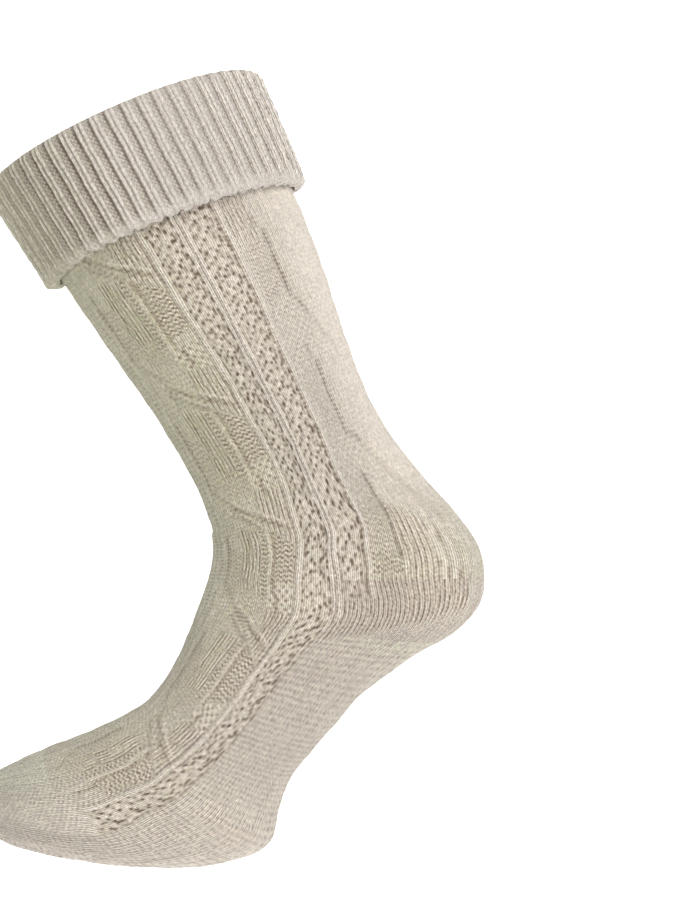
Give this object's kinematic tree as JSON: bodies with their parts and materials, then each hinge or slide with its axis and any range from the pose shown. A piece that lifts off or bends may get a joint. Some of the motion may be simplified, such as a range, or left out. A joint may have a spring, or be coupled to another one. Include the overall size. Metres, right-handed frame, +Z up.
{
  "type": "folk costume sock",
  "caption": "Knitted folk sock with a turned-down ribbed cuff, lace bands down the side, travelling cable panels, a ribbed heel and a plain sole and toe.",
  "frame": {"origin": "centre of the leg opening, level with the cuff's highest side edges", "axes": "+Z up as the sock stands on its raised foot, toe towards -X, +Y across the sock; the leg and its opening lean towards -X"},
  "size_m": [0.232, 0.1116, 0.358],
  "materials": {
    "oatmeal_knit": "thick wool-blend knit in natural oatmeal, matt",
    "cream_knit": "close ribbed knit in warm cream, matt",
    "grey_beige_knit": "plain stocking stitch in pale grey-beige, matt"
  },
  "bodies": {
    "root": {"cuff": "oatmeal_knit", "leg": "oatmeal_knit", "instep": "oatmeal_knit", "heel": "cream_knit", "sole": "grey_beige_knit", "toe": "grey_beige_knit"}
  },
  "joints": []
}
